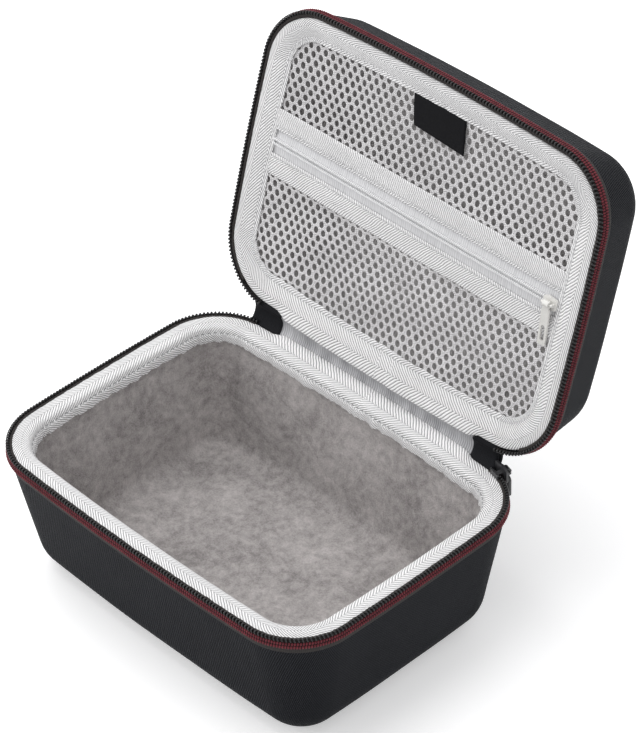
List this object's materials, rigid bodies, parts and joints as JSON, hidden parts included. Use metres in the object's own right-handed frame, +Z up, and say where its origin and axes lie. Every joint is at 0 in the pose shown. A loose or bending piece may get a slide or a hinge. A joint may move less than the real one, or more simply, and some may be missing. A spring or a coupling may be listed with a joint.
{
  "type": "hard zip case",
  "caption": "Hard moulded case standing open: deep padded base, hinged lid with a zipped mesh pocket, bound rims, coil zip and sliders with pulls.",
  "frame": {"origin": "middle of the flat underside, on the surface that the case stands on", "axes": "+X along the hinge to the viewer's right, +Y to the hinge side at the rear, +Z up"},
  "size_m": [0.2132, 0.2322, 0.2271],
  "materials": {
    "shell_cloth": "black diagonal twill over moulded foam",
    "velour_lining": "taupe grey velour",
    "grey_satin": "grey satin",
    "herringbone_binding": "pale herringbone tape",
    "zip_tape": "dark grey woven tape",
    "woven_stripe": "dark red woven stripe",
    "black_coil": "black nylon coil",
    "mesh": "light grey perforated mesh",
    "pocket_zip_tape": "pale satin tape",
    "white_coil": "white nylon coil",
    "twill_band": "pale twill tape",
    "label_cloth": "bare black woven cloth",
    "black_metal": "black painted, low gloss",
    "white_metal": "off-white painted, low gloss"
  },
  "bodies": {
    "base": {"base_shell": "shell_cloth", "base_lining": "velour_lining", "base_binding": "herringbone_binding", "base_zip_tape": "zip_tape", "base_zip_stripe": "woven_stripe", "base_zip_coil": "black_coil", "hinge_cloth": "shell_cloth", "hinge_lining": "grey_satin", "hinge_patch_left": "shell_cloth", "hinge_patch_right": "shell_cloth"},
    "lid": {"lid_shell": "shell_cloth", "lid_lining": "velour_lining", "lid_binding": "herringbone_binding", "lid_zip_tape": "zip_tape", "lid_zip_stripe": "woven_stripe", "lid_zip_coil": "black_coil", "pocket_mesh_upper": "mesh", "pocket_mesh_lower": "mesh", "pocket_tape_upper": "pocket_zip_tape", "pocket_tape_lower": "pocket_zip_tape", "pocket_coil_upper": "white_coil", "pocket_coil_lower": "white_coil", "pocket_band_upper": "twill_band", "pocket_band_lower": "twill_band", "label_tag": "label_cloth"},
    "zip_slider": {"zip_slider": "black_metal"},
    "zip_pull": {"zip_pull": "black_metal"},
    "pocket_slider": {"pocket_slider": "white_metal"},
    "pocket_pull": {"pocket_pull": "white_metal"}
  },
  "joints": [
    {"name": "lid_hinge", "type": "hinge", "parent": "base", "child": "lid", "pos_m": [0, 0.0779, 0.0783], "axis": [1, 0, 0], "range_deg": [0, 107.6], "deforming": ["hinge_cloth", "hinge_lining", "hinge_patch_left", "hinge_patch_right"]},
    {"name": "zip_slider_turn", "type": "hinge", "parent": "base", "child": "zip_slider", "pos_m": [0.07392, 0.04331, 0.074], "axis": [0, 0, 1], "range_deg": [-74, 0]},
    {"name": "zip_pull_swing", "type": "hinge", "parent": "zip_slider", "child": "zip_pull", "pos_m": [0.08368, 0.07734, 0.074], "axis": [0.9613, -0.2756, 0], "range_deg": [-10, 100]},
    {"name": "pocket_slider_run", "type": "slide", "parent": "lid", "child": "pocket_slider", "axis": [1, 0, 0], "range_m": [-0.1736, 0]},
    {"name": "pocket_pull_swing", "type": "hinge", "parent": "pocket_slider", "child": "pocket_pull", "pos_m": [0.0868, 0.09903, 0.15815], "axis": [-1, 0, 0], "range_deg": [0, 150]}
  ]
}
